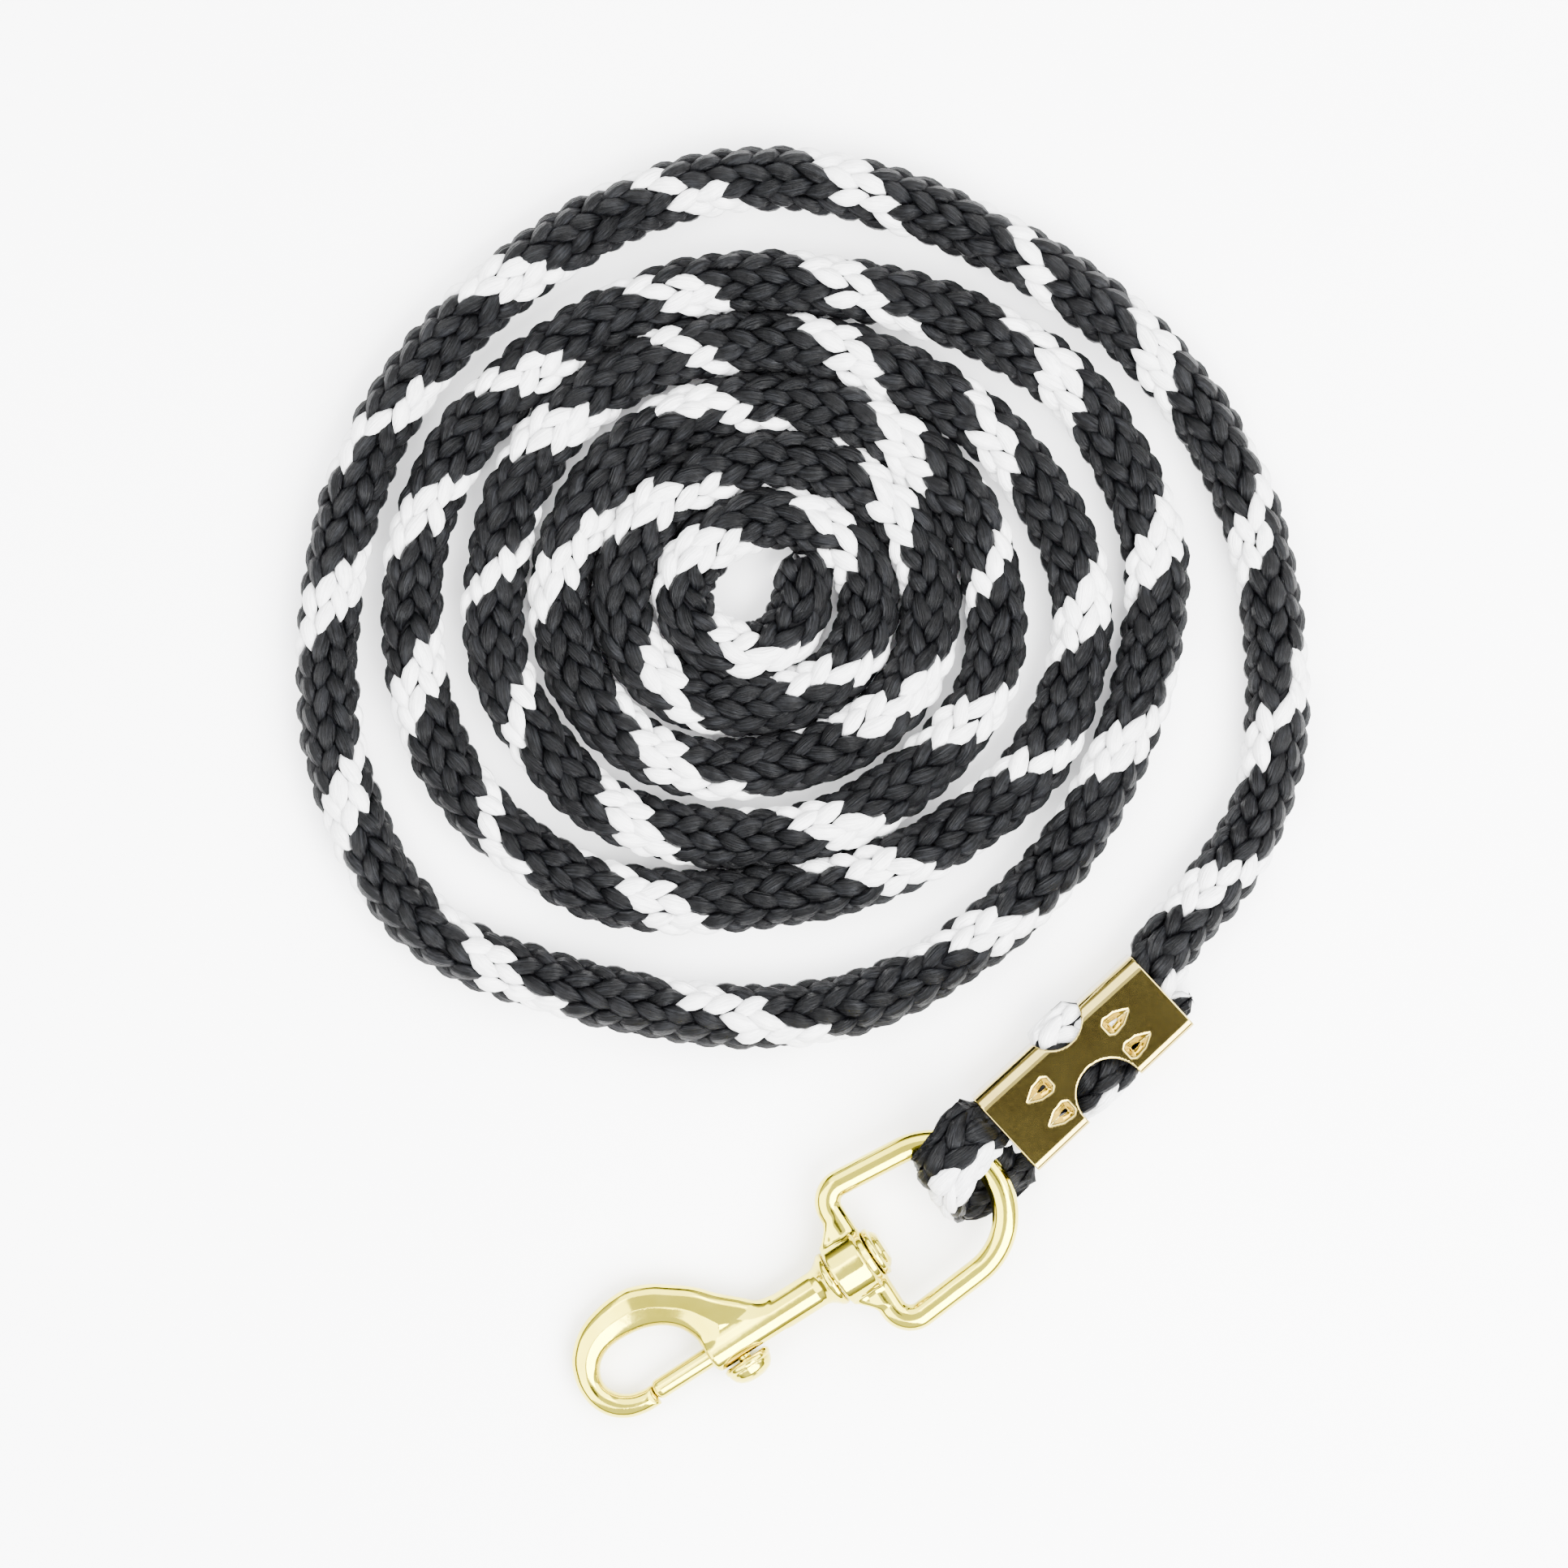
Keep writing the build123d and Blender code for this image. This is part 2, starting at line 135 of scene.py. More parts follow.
normal /= np.linalg.norm(normal, axis=1)[:, None]
side = np.cross(tangent, normal)


def s_at(point, lo=0.0, hi=260.0):
    """How far along the line its nearest point to this one is."""
    ok = (arc >= lo) & (arc <= hi)
    d = np.linalg.norm(path - np.array(point), axis=1)
    d[~ok] = 1e9
    return float(arc[int(np.argmin(d))])


# half width, half thickness and squareness of the rope's section where the clamp and the ring press on it
squeeze = [
    ((92.0, 7.3, 4.2), 2.7, 2.4, 2.2), ((88.5, 7.5, 4.5), 3.9, 3.3, 2.2), ((84.0, 7.9, 4.8), 6.0, 3.7, 2.6),
    ((73.5, 7.4, 4.9), 7.7, 3.8, 3.0), ((61.8, 4.5, 7.7), 7.4, 7.3, 2.4), ((50.0, 3.4, 5.1), 7.7, 3.8, 3.0),
    ((41.0, 1.0, 4.9), 7.7, 3.8, 3.0), ((33.0, -1.9, 4.5), 8.9, 4.1, 2.5), ((24.0, -2.4, 4.1), 9.1, 3.8, 2.4),
    ((15.0, 2.0, 12.0), 8.6, 4.2, 2.3), ((23.5, 8.0, 19.9), 8.8, 4.2, 2.3), ((30.0, 9.9, 18.3), 8.9, 4.0, 2.4),
    ((36.5, 9.8, 13.8), 8.0, 3.9, 2.9), ((48.4, 10.8, 12.9), 7.7, 3.8, 3.0), ((60.7, 16.8, 11.1), 7.6, 6.0, 2.3),
    ((73.5, 14.9, 12.7), 7.7, 3.9, 3.0), ((83.5, 16.6, 12.2), 7.6, 4.5, 2.6), ((88.5, 19.3, 11.2), 8.2, 6.4, 2.2),
    ((95.0, 23.2, 10.0), 8.15, 7.8, 2.0),
]
key_s, key_w, key_t, key_e = [], [], [], []
low = 0.0
for pt, w, t, e in squeeze:
    s = s_at(pt, low)
    low = s
    key_s.append(s), key_w.append(w), key_t.append(t), key_e.append(e)


def smooth_keys(s, values):
    """Smooth steps between the keyed values along the line."""
    i = np.clip(np.searchsorted(key_s, s) - 1, 0, len(key_s) - 2)
    a, b = np.array(key_s)[i], np.array(key_s)[i + 1]
    t = np.clip((s - a) / np.maximum(b - a, 1e-6), 0, 1)
    t = t * t * (3 - 2 * t)
    v = np.array(values)
    return v[i] * (1 - t) + v[i + 1] * t


# the free rope swells and thins a little along its length, as a soft braid does
wob_s = np.arange(0, LENGTH + 60, 22.0)
wob_w = rng.normal(0, 0.13, len(wob_s))


def sd_poly(px, py, poly):
    """Signed distance to a closed polygon."""
    poly = np.asarray(poly, float)
    d = np.full(px.shape, 1e9)
    inside = np.zeros(px.shape, bool)
    for (ax, ay), (bx, by) in zip(poly, np.roll(poly, -1, axis=0)):
        ex, ey = bx - ax, by - ay
        wx, wy = px - ax, py - ay
        t = np.clip((wx * ex + wy * ey) / max(ex * ex + ey * ey, 1e-12), 0, 1)
        d = np.minimum(d, (wx - ex * t) ** 2 + (wy - ey * t) ** 2)
        if ay != by:
            cross = ((ay > py) != (by > py)) & (px < (bx - ax) * (py - ay) / (by - ay) + ax)
            inside ^= cross
    return np.sqrt(d) * np.where(inside, -1, 1)


CA = math.radians(10.0)     # the clamp's lie
prongs = []
for e in (1, -1):
    for b in (2.4, -5.5):
        A = 12.9
        prongs.append(np.array([(e * (A - 3.5), b - 1.3), (e * (A - 3.5), b + 1.3), (e * (A - 2.4), b + 2.1),
                                (e * (A + 0.6), b + 1.7), (e * (A + 3.7), b), (e * (A + 0.6), b - 1.7), (e * (A - 2.4), b - 2.1)]))


def press(p, s):
    """The yarns lie flat against the inside of the clamp's sheet, and under its punched prongs."""
    near = s < S_MOUTH + 8.0
    x, y, z = p[near, 0] - 60.7, p[near, 1] - 9.1, p[near, 2]
    a = x * math.cos(CA) + y * math.sin(CA)
    b = -x * math.sin(CA) + y * math.cos(CA)
    past = np.maximum(np.abs(a) - 26.3, 0.0)
    wide = 10.55 + 2.4 * past
    cut = np.zeros(a.shape, bool)
    for rad_, ca, cb in ((7.5, 1.1, 13.4), (8.7, -0.2, -10.2)):
        cut |= np.hypot(a - ca, np.where(np.abs(b) > 10.5, np.sign(b) * 10.5, b) - cb) < rad_ - 0.3
    wide = np.where(cut, 14.5, wide)
    pd = np.full(a.shape, 1e9)
    for q in prongs:
        pd = np.minimum(pd, sd_poly(a, b, q))
    dip = 1.7 * np.clip((0.25 - pd) / 1.5, 0, 1) ** 1.2
    high = 7.85 - dip + 1.6 * past
    high = np.where(cut, 10.5, high)
    b = np.clip(b, -wide, wide)
    # the corners of the fold are round
    r = np.where(b > 0, 3.2, 0.9)
    cy, cz = np.abs(b) - (wide - r), np.abs(z - 9.0) - (high - r)
    out = np.hypot(np.maximum(cy, 0), np.maximum(cz, 0))
    k = np.where((cy > 0) & (cz > 0) & (out > r), r / np.maximum(out, 1e-9), 1.0)
    b = np.where(k < 1, np.sign(b) * (wide - r + np.maximum(cy, 0) * k), b)
    h = np.where(k < 1, high - r + np.maximum(cz, 0) * k, np.abs(z - 9.0))
    zc = 9.0 + np.sign(z - 9.0) * np.minimum(h, high)
    q = p.copy()
    q[near, 0] = 60.7 + a * math.cos(CA) - b * math.sin(CA)
    q[near, 1] = 9.1 + a * math.sin(CA) + b * math.cos(CA)
    q[near, 2] = zc
    return q


TILT = math.radians(4.0)    # the snap and eye lean by this much
FLIP_AT = math.radians(17.0)  # where round the ring the rope bears
ring_touch = np.array([26.3 + (9.42 + 17.68 * math.cos(FLIP_AT) - 26.3) * math.cos(TILT), 17.68 * math.sin(FLIP_AT) - 2.65,
                       12.1 + (9.42 + 17.68 * math.cos(FLIP_AT) - 26.3) * math.sin(TILT)])
flip_axis = np.array([-math.sin(FLIP_AT) * math.cos(TILT), math.cos(FLIP_AT), -math.sin(FLIP_AT) * math.sin(TILT)])


def about_flip(v, angle):
    c, n = math.cos(angle), math.sin(angle)
    return v * c + np.cross(flip_axis, v) * n + np.outer(v @ flip_axis, flip_axis) * (1 - c)


def make_room(p, s):
    """The soft rope gives way, away from the ring's hinge, wherever its bar comes over the whole of its turn."""
    near = (s < S_MOUTH) & (np.linalg.norm(p - ring_touch, axis=1) < 24.0)
    v = p[near] - ring_touch
    along = v @ flip_axis
    perp = v - along[:, None] * flip_axis
    r = np.maximum(np.linalg.norm(perp, axis=1), 1e-6)
    perp /= r[:, None]
    origin = ring_touch - np.array([26.3, -2.65, 12.1])
    need = np.zeros(len(v))
    for angle in np.radians(np.linspace(-77, 77, 23)):
        base = about_flip(along[:, None] * flip_axis, -angle) + origin
        ray = about_flip(perp, -angle)
        for k in np.arange(0.4, 15.2, 0.4):
            w = base + ray * k
            x = w[:, 0] * math.cos(TILT) + w[:, 2] * math.sin(TILT) + 26.3
            z = -w[:, 0] * math.sin(TILT) + w[:, 2] * math.cos(TILT)
            dist = np.hypot(np.hypot(x - 9.42, w[:, 1]) - 17.68, z)
            need = np.where((dist < 3.6) & (x > -2.0), np.maximum(need, k + 0.75), need)
    q = p.copy()
    q[near] = ring_touch + along[:, None] * flip_axis + perp * np.maximum(r, need)[:, None]
    q[near, 2] = np.clip(q[near, 2], np.minimum(0.15, p[near, 2]), np.maximum(24.3, p[near, 2]))
    return q


def on_rope(s, a, depth):
    """Points at s along the line, at angle a round it, depth under its outer surface. All in millimetres."""
    c = np.stack([np.interp(s, arc, path[:, k]) for k in range(3)], -1)
    n = np.stack([np.interp(s, arc, normal[:, k]) for k in range(3)], -1)
    b = np.stack([np.interp(s, arc, side[:, k]) for k in range(3)], -1)
    n /= np.linalg.norm(n, axis=-1)[..., None]
    b /= np.linalg.norm(b, axis=-1)[..., None]
    hw, ht, ex = smooth_keys(s, key_w), smooth_keys(s, key_t), smooth_keys(s, key_e)
    free = np.clip((s - key_s[-1]) / 20.0, 0, 1)
    hw = hw + free * np.interp(s, wob_s, wob_w)
    near_end = np.clip((LENGTH - s) / 3.5, 0, 1)        # the inner end closes in
    shut = np.sqrt(np.clip(1 - (1 - near_end) ** 2, 0.02, 1))
    near_cut = np.sqrt(np.clip(1 - (1 - np.clip(s / 2.2, 0, 1)) ** 2, 0.12, 1))
    hw, ht = hw * shut * near_cut, ht * shut * near_cut
    ca, sa = np.cos(a), np.sin(a)
    x = np.sign(ca) * np.abs(ca) ** (2 / ex)
    y = np.sign(sa) * np.abs(sa) ** (2 / ex)
    scale = np.clip(ht / 7.7, 0.45, 1.0)                # the yarns flatten with the rope
    d = depth * (0.35 + 0.65 * scale)
    p = c + b * ((hw - d) * x)[..., None] + n * ((ht - d) * y)[..., None]
    flat = press(p.reshape(-1, 3), np.broadcast_to(s, p.shape[:-1]).reshape(-1))
    return make_room(flat, np.broadcast_to(s, p.shape[:-1]).reshape(-1)).reshape(p.shape) * MM


# where the white tracer comes over the top of the rope, as angles round the coil's middle from the clamp inward
COIL_MID = np.array([59.67, 143.49])
crossings = [-33, -13, 10, 34, 54, 79, 105, 130, 155, 180, 203, 231, 265, 302, 338, 368, 400, 437, 470, 499, 524, 552,
             577, 604, 652, 688, 718, 760, 797, 829, 862, 893, 921, 954, 1001, 1047, 1090, 1135, 1186, 1248, 1312, 1396,
             1477, 1580, 1655, 1746, 1850, 1945, 2034]
rel = path[:, :2] - COIL_MID
turn = np.degrees(np.unwrap(np.arctan2(rel[:, 1], rel[:, 0]))) + 32.8
turn -= 360 * round((turn[mouth_i] + 45) / 360)
free_i = np.arange(mouth_i, len(path))
cross_s = [float(np.interp(c, turn[free_i], arc[free_i])) for c in crossings]
# tracer phase, falling by a turn from one crossing to the next; 90 degrees is the top, 0 the outside of the coil
phase_s = [s_at((90, 7.4, 4.3)), s_at((56.5, 4.0, 6.4), 0, 60), s_at((33.0, -2.0, 4.5), 20, 80), s_at((15.0, 2.0, 12.0), 60),
           s_at((23.5, 8.0, 19.9), 60), s_at((33.5, 10.0, 16.5), 60), s_at((60.7, 14.5, 11.2), 90), S_MOUTH]
phase_a = [215.0, -15.0, -190.0, -298.0, -340.0, -372.0, -590.0, -712.0]
first_top = -630.0
for k, s in enumerate(cross_s):
    phase_s.append(s)
    phase_a.append(first_top - 360.0 * (k + 1))
phase_s.append(LENGTH + 14)
phase_a.append(phase_a[-1] - 360.0)
COLUMNS = 10
PITCH = 7.1
BAND = 50.0             # half of the tracer's width round the rope, in degrees


def is_white(s, a_deg):
    ph = np.interp(s, phase_s, phase_a)
    off = (a_deg - ph + 180.0) % 360.0 - 180.0
    return np.abs(off) < np.where(s < S_MOUTH - 40, 44.0, BAND)


# each yarn shows as a leaf-shaped stitch; every stitch is its own closed form
U = np.array([-0.93, -0.72, -0.36, 0.0, 0.36, 0.72, 0.93])
RING = 9
ring_a = 2 * np.pi * np.arange(RING) / RING


def stitches(s0, a0, tilt, half_len, half_w, thick, lift):
    """Vertices, faces and yarn coordinates of many leaves at once."""
    n = len(s0)
    nu = len(U)
    w = np.cos(np.pi * U / 2) ** 0.92 * (1 - 0.22 * U)     # broad at the root, pointed at the tip
    t = np.cos(np.pi * U / 2) ** 0.5
    drop = 1.6 * np.abs(U) ** 2.2 * np.where(U > 0, 0.80, 1.45)
    u = np.r_[-1.0, np.repeat(U, RING), 1.0]
    lat = np.r_[0.0, (w[:, None] * np.cos(ring_a)[None, :]).ravel(), 0.0]
    hgt = np.r_[-0.6, (t[:, None] * np.sin(ring_a)[None, :]).ravel(), -0.6]
    dr = np.r_[1.6 * 1.45 + 0.35, np.repeat(drop, RING), 1.6 * 0.80 + 0.35]
    # the crown is fuller than the edges
    s = s0[:, None] + half_len[:, None] * u[None, :]
    a = a0[:, None] + (half_w[:, None] * lat[None, :] + tilt[:, None] * u[None, :])
    depth = thick[:, None] * (1 - hgt[None, :]) + dr[None, :] - lift[:, None]
    depth = depth + 0.30 * np.abs(lat[None, :]) ** 2
    s = np.clip(s, 0.0, LENGTH)
    v = on_rope(s, a, depth)
    m = v.shape[1]
    quads, tris = [], []
    for i in range(nu - 1):
        for j in range(RING):
            k = (j + 1) % RING
            quads.append((1 + i * RING + j, 1 + i * RING + k, 1 + (i + 1) * RING + k, 1 + (i + 1) * RING + j))
    for j in range(RING):
        k = (j + 1) % RING
        tris.append((0, 1 + k, 1 + j))
        tris.append((m - 1, 1 + (nu - 1) * RING + j, 1 + (nu - 1) * RING + k))
    base = (np.arange(n) * m)[:, None, None]
    q = (np.array(quads)[None] + base).reshape(-1, 4)
    tr = (np.array(tris)[None] + base).reshape(-1, 3)
    yarn = np.stack([np.broadcast_to(u[None] * 4.1, (n, m)), np.broadcast_to(lat[None] * 2.4, (n, m)),
                     np.broadcast_to((np.arange(n) * 7.31)[:, None], (n, m))], -1)
    return v.reshape(-1, 3), q, tr, yarn.reshape(-1, 3)


def mesh_object(name, verts, quads=None, tris=None, material=None, yarn=None, smooth=True):
    me = bpy.data.meshes.new(name)
    quads = np.zeros((0, 4), int) if quads is None else np.asarray(quads)
    tris = np.zeros((0, 3), int) if tris is None else np.asarray(tris)
    me.vertices.add(len(verts))
    me.vertices.foreach_set("co", np.asarray(verts, np.float32).ravel())
    loops = np.r_[quads.ravel(), tris.ravel()].astype(np.int32)
    me.loops.add(len(loops))
    me.loops.foreach_set("vertex_index", loops)
    total = np.r_[np.full(len(quads), 4), np.full(len(tris), 3)].astype(np.int32)
    start = np.r_[0, np.cumsum(total)[:-1]].astype(np.int32)
    me.polygons.add(len(total))
    me.polygons.foreach_set("loop_start", start)
    me.update(calc_edges=True)
    me.validate()
    if yarn is not None:
        at = me.attributes.new("yarn", "FLOAT_VECTOR", "POINT")
        at.data.foreach_set("vector", np.asarray(yarn, np.float32).ravel())
    if smooth:
        me.polygons.foreach_set("use_smooth", np.ones(len(me.polygons), bool))
    ob = bpy.data.objects.new(name, me)
    scene.collection.objects.link(ob)
    if material is not None:
        me.materials.append(material)
    return ob


# ------------------------------------------------------------------ materials
def new_material(name):
    mat = bpy.data.materials.new(name)
    mat.use_nodes = True
    nt = mat.node_tree
    nt.nodes.clear()
    out = nt.nodes.new("ShaderNodeOutputMaterial")
    bsdf = nt.nodes.new("ShaderNodeBsdfPrincipled")
    nt.links.new(bsdf.outputs["BSDF"], out.inputs["Surface"])
    return mat, nt, bsdf


def ramp(nt, fac, stops):
    r = nt.nodes.new("ShaderNodeValToRGB")
    while len(r.color_ramp.elements) < len(stops):
        r.color_ramp.elements.new(0.5)
    for e, (pos, col) in zip(r.color_ramp.elements, stops):
        e.position = pos
        e.color = (*col, 1.0)
    nt.links.new(fac, r.inputs["Fac"])
    return r.outputs["Color"]


def noise(nt, vector, scale, detail=3.0, rough=0.55):
    t = nt.nodes.new("ShaderNodeTexNoise")
    t.inputs["Scale"].default_value = scale
    t.inputs["Detail"].default_value = detail
    t.inputs["Roughness"].default_value = rough
    if vector is not None:
        nt.links.new(vector, t.inputs["Vector"])
    return t.outputs["Fac"]


def yarn_material(name, dark, mid, light, rough, sheen, bump):
    mat, nt, bsdf = new_material(name)
    at = nt.nodes.new("ShaderNodeAttribute")
    at.attribute_name = "yarn"
    mp = nt.nodes.new("ShaderNodeMapping")
    mp.inputs["Scale"].default_value = (0.16, 2.6, 1.0)
    nt.links.new(at.outputs["Vector"], mp.inputs["Vector"])
    fib = noise(nt, mp.outputs["Vector"], 1.0, 4.0, 0.6)
    mp2 = nt.nodes.new("ShaderNodeMapping")
    mp2.inputs["Scale"].default_value = (0.35, 0.5, 0.37)
    nt.links.new(at.outputs["Vector"], mp2.inputs["Vector"])
    blot = noise(nt, mp2.outputs["Vector"], 1.0, 2.0, 0.5)
    mix = nt.nodes.new("ShaderNodeMath")
    mix.operation = "MULTIPLY_ADD"
    nt.links.new(fib, mix.inputs[0])
    mix.inputs[1].default_value = 0.62
    half = nt.nodes.new("ShaderNodeMath")
    half.operation = "MULTIPLY"
    half.inputs[1].default_value = 0.38
    nt.links.new(blot, half.inputs[0])
    nt.links.new(half.outputs[0], mix.inputs[2])
    # colour runs from dark to light along the fibre noise; the lighter streaks are partly the yarn's own tone and
    # partly painted highlights on the fibres
    col = ramp(nt, mix.outputs[0], [(0.30, dark), (0.50, mid), (0.72, light)])
    nt.links.new(col, bsdf.inputs["Base Color"])
    bsdf.inputs["Roughness"].default_value = rough
    bsdf.inputs["Sheen Weight"].default_value = sheen
    bsdf.inputs["Sheen Roughness"].default_value = 0.4
    bsdf.inputs["Specular IOR Level"].default_value = 0.08
    b = nt.nodes.new("ShaderNodeBump")
    b.inputs["Strength"].default_value = bump
    b.inputs["Distance"].default_value = 0.0008
    nt.links.new(fib, b.inputs["Height"])
    nt.links.new(b.outputs["Normal"], bsdf.inputs["Normal"])
    return mat


def metal_material(name, base, deep, rough, wave=0.00012, fine=0.00002):
    mat, nt, bsdf = new_material(name)
    geo = nt.nodes.new("ShaderNodeTexCoord")
    big = noise(nt, geo.outputs["Object"], 120.0, 2.0, 0.5)
    small = noise(nt, geo.outputs["Object"], 900.0, 3.0, 0.6)
    col = ramp(nt, big, [(0.30, deep), (0.62, base)])
    nt.links.new(col, bsdf.inputs["Base Color"])
    bsdf.inputs["Metallic"].default_value = 1.0
    r = nt.nodes.new("ShaderNodeMapRange")
    r.inputs["To Min"].default_value = rough * 0.75
    r.inputs["To Max"].default_value = rough * 1.35
    nt.links.new(small, r.inputs["Value"])
    nt.links.new(r.outputs["Result"], bsdf.inputs["Roughness"])
    b1 = nt.nodes.new("ShaderNodeBump")
    b1.inputs["Strength"].default_value = 0.5
    b1.inputs["Distance"].default_value = wave
    nt.links.new(big, b1.inputs["Height"])
    b2 = nt.nodes.new("ShaderNodeBump")
    b2.inputs["Strength"].default_value = 0.35
    b2.inputs["Distance"].default_value = fine
    nt.links.new(small, b2.inputs["Height"])
    nt.links.new(b1.outputs["Normal"], b2.inputs["Normal"])
    nt.links.new(b2.outputs["Normal"], bsdf.inputs["Normal"])
    return mat


black_yarn = yarn_material("black_yarn", (0.0003, 0.0003, 0.0004), (0.0012, 0.0013, 0.0016), (0.0095, 0.0100, 0.0115), 0.33, 0.0, 1.0)
white_yarn = yarn_material("white_yarn", (0.50, 0.50, 0.505), (0.70, 0.70, 0.705), (0.84, 0.84, 0.84), 0.5, 0.0, 1.0)
# the core's near-black is partly its own colour and partly painted shade in the gaps between the stitches
core_yarn = yarn_material("core_yarn", (0.002, 0.002, 0.0024), (0.003, 0.003, 0.0035), (0.005, 0.005, 0.006), 0.8, 0.02, 0.5)
gold_cast = metal_material("gold_cast", (0.66, 0.575, 0.058), (0.58, 0.49, 0.038), 0.085)
gold_bolt = metal_material("gold_bolt", (0.66, 0.575, 0.058), (0.58, 0.49, 0.038), 0.08, 0.00003)
# the sheet's darker gold is partly its own browner plating and partly painted shade for the dark reflection its flat
# face shows
gold_sheet = metal_material("gold_sheet", (0.46, 0.365, 0.10), (0.39, 0.30, 0.08), 0.08, 0.00004)
spring_wire = metal_material("spring_wire", (0.62, 0.62, 0.63), (0.5, 0.5, 0.51), 0.25, 0.00001)

# ------------------------------------------------------------------ the rope's stitches
rows = int(LENGTH / PITCH) + 1
cc, rr = np.meshgrid(np.arange(COLUMNS), np.arange(rows))
cc, rr = cc.ravel(), rr.ravel()
odd = cc % 2
s0 = (rr + 0.5 * odd) * PITCH + 1.6 + rng.normal(0, 0.38, len(cc))
keep = (s0 > 1.0) & (s0 < LENGTH - 1.2)
cc, rr, odd, s0 = cc[keep], rr[keep], odd[keep], s0[keep]
a_mid = cc * 2 * np.pi / COLUMNS + 0.13
white = is_white(s0, np.degrees(a_mid))
n_st = len(s0)
a0 = a_mid + rng.normal(0, 0.042, n_st)
tilt = np.where(odd == 1, 1.0, -1.0) * 0.20 + rng.normal(0, 0.05, n_st)
half_len = 5.45 + rng.normal(0, 0.32, n_st)
half_w = 0.385 + rng.normal(0, 0.016, n_st)
thick = np.full(n_st, 1.65) + rng.normal(0, 0.05, n_st)
lift = rng.normal(0, 0.14, n_st)
lift[white] += 0.05

pieces = []


def stitch_piece(name, mask, material):
    v, q, t, y = stitches(s0[mask], a0[mask], tilt[mask], half_len[mask], half_w[mask], thick[mask], lift[mask])
    y[:, 2] += 3.7 * len(pieces)
    ob = mesh_object(name, v, q, t, material, y)
    pieces.append(ob)
    return ob


cuts = np.linspace(0, LENGTH, 5)
for k in range(4):
    m = (~white) & (s0 >= cuts[k]) & (s0 < cuts[k + 1])
    stitch_piece("rope_black_%d" % (k + 1), m, black_yarn)
for k in range(2):
    m = white & (s0 >= cuts[2 * k]) & (s0 < cuts[2 * k + 2])
    stitch_piece("rope_tracer_%d" % (k + 1), m, white_yarn)

# the core that the stitches are laid on
core_s = np.arange(0.8, LENGTH - 0.8, 1.5)
core_n = 20
core_a = 2 * np.pi * np.arange(core_n) / core_n
sg, ag = np.meshgrid(core_s, core_a, indexing="ij")
core_v = on_rope(sg.ravel(), ag.ravel(), np.full(sg.size, 2.9))
core_v = np.vstack([core_v, core_v[:core_n].mean(0)[None], core_v[-core_n:].mean(0)[None]])
i, j = np.meshgrid(np.arange(len(core_s) - 1), np.arange(core_n), indexing="ij")
i, j = i.ravel(), j.ravel()
k = (j + 1) % core_n
core_q = np.stack([i * core_n + j, (i + 1) * core_n + j, (i + 1) * core_n + k, i * core_n + k], -1)
last = len(core_s) * core_n
jj = np.arange(core_n)
core_t = np.vstack([np.stack([np.full(core_n, last), jj, (jj + 1) % core_n], -1),
                    np.stack([np.full(core_n, last + 1), last - core_n + (jj + 1) % core_n, last - core_n + jj], -1)])
core_y = np.zeros((len(core_v), 3))
core_y[:-2, 0] = sg.ravel()
core_y[:-2, 1] = ag.ravel() * 7
core = mesh_object("rope_core", core_v, core_q, core_t, core_yarn, core_y)
pieces.append(core)

for ob in pieces:
    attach(ob, "rope")
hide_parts("rope_loop", "rope_lead", "rope_coil")
print("rope length mm", LENGTH, "stitches", n_st, "white share", float(white.mean()))


# ------------------------------------------------------------------ hardware, as smooth castings from distance fields


def lay(v):
    """From the frame drawn about the X axis to the row frame, in millimetres."""
    x, y, z = v[:, 0] - 26.3, v[:, 1], v[:, 2]
    return np.stack([26.3 + x * math.cos(TILT) - z * math.sin(TILT), y - 2.65,
                     12.1 + x * math.sin(TILT) + z * math.cos(TILT)], -1)


def rounded(points, closed=False, per=8):
    """A smooth line through points."""
    p = np.asarray(points, float)
    if closed:
        p = np.vstack([p[-1], p, p[0], p[1]])
    else:
        p = np.vstack([2 * p[0] - p[1], p, 2 * p[-1] - p[-2]])
    out = []
    for a, b, c, d in zip(p, p[1:], p[2:], p[3:]):
        for t in np.arange(per) / per:
            out.append(0.5 * ((2 * b) + (c - a) * t + (2 * a - 5 * b + 4 * c - d) * t ** 2 + (3 * b - a - 3 * c + d) * t ** 3))
    if not closed:
        out.append(p[-2])
    return np.array(out)


def smin(a, b, k):
    h = np.clip(0.5 + 0.5 * (b - a) / k, 0, 1)
    return b * (1 - h) + a * h - k * h * (1 - h)


def smax(a, b, k):
    return -smin(-a, -b, k)


def slab(d2, h, r):
    """A flat shape thickened to height field h (distance past the faces) with rounded edges of radius r."""
    a, b = d2 + r, h + r
    return np.minimum(np.maximum(a, b), 0) + np.hypot(np.maximum(a, 0), np.maximum(b, 0)) - r


def spun(along, radial, profile):
    """A body of revolution from (along, radius) points."""
    prof = [(profile[0][0], -6.0)] + list(profile) + [(profile[-1][0], -6.0)]
    return sd_poly(along, radial, prof)


